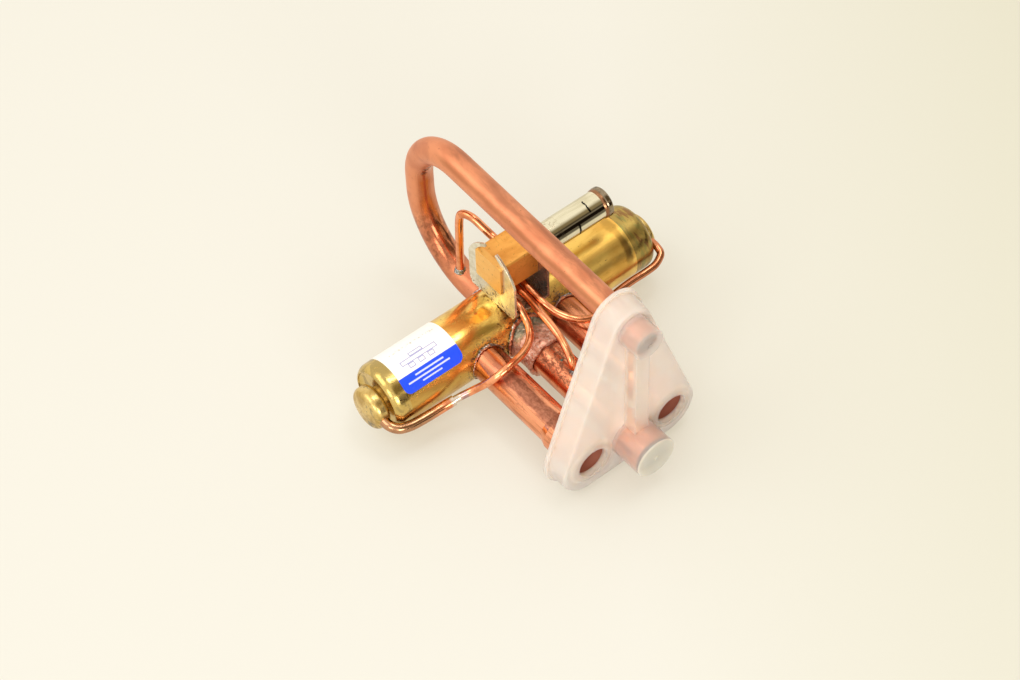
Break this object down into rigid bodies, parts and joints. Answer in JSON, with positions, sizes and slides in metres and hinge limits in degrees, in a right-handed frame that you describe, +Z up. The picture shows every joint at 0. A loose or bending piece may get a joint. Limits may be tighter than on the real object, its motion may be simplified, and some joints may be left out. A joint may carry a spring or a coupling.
{
  "type": "four-way reversing valve",
  "caption": "Brass slide valve for a heat pump: barrel with copper port tubes, a looped discharge tube, a solenoid pilot valve with capillaries and a clear transit cap.",
  "frame": {"origin": "bottom centre of the whole valve's bounding box, as it lies with the port tubes level", "axes": "+X along the barrel towards the pilot valve's sleeve, -Y along the port tubes towards their open ends, +Z up"},
  "size_m": [0.1218, 0.1268, 0.0788],
  "materials": {
    "barrel_brass": "polished, heat-stained",
    "end_brass": "polished",
    "plug_brass": "polished",
    "tube_copper": "drawn, heat-stained",
    "capillary_copper": "bright",
    "braze": "rough",
    "block_brass": "milled",
    "bracket_steel": "plated",
    "stainless": "bright",
    "core_steel": "dark",
    "inner_steel": "plain",
    "seal_plastic": "plain",
    "slide_plastic": "plain",
    "label_paper": "printed",
    "cap_plastic": "translucent"
  },
  "bodies": {
    "valve": {"barrel": "barrel_brass", "left_end": "end_brass", "right_end": "end_brass", "left_end_plug": "plug_brass", "right_end_plug": "plug_brass", "suction_tube": "tube_copper", "evaporator_tube": "tube_copper", "condenser_tube": "tube_copper", "discharge_tube": "tube_copper", "discharge_tube_end": "tube_copper", "suction_sleeve": "tube_copper", "suction_solder": "braze", "evaporator_solder": "braze", "condenser_solder": "braze", "discharge_solder": "braze", "suction_capillary_solder": "braze", "discharge_capillary_solder": "braze", "valve_seat": "end_brass", "pilot_bracket": "bracket_steel", "pilot_block": "block_brass", "pilot_sleeve": "stainless", "fixed_core": "core_steel", "core_braze": "tube_copper", "pilot_seat": "end_brass", "discharge_capillary": "capillary_copper", "left_capillary": "capillary_copper", "left_plug_tube": "capillary_copper", "suction_capillary": "capillary_copper", "right_capillary": "capillary_copper", "label": "label_paper"},
    "shuttle": {"main_slide": "slide_plastic", "slide_carrier": "inner_steel", "left_piston_plates": "inner_steel", "right_piston_plates": "inner_steel", "left_piston_seal": "seal_plastic", "right_piston_seal": "seal_plastic", "left_piston_screws": "inner_steel", "right_piston_screws": "inner_steel"},
    "plunger_group": {"plunger": "inner_steel", "pilot_slide": "slide_plastic", "return_spring": "inner_steel"},
    "cap": {"protective_cap": "cap_plastic", "cap_left_face": "cap_plastic", "cap_right_face": "cap_plastic", "cap_skirt": "cap_plastic"}
  },
  "joints": [
    {"name": "shuttle_slide", "type": "slide", "parent": "valve", "child": "shuttle", "axis": [1, 0, 0], "range_m": [0, 0.0168]},
    {"name": "plunger_slide", "type": "slide", "parent": "valve", "child": "plunger_group", "axis": [1, 0, 0], "range_m": [0, 0.0032], "stiffness_N_per_m": 200, "springref_m": -0.005},
    {"name": "cap_pull", "type": "slide", "parent": "valve", "child": "cap", "axis": [0, -1, 0], "range_m": [0, 0.315]}
  ]
}
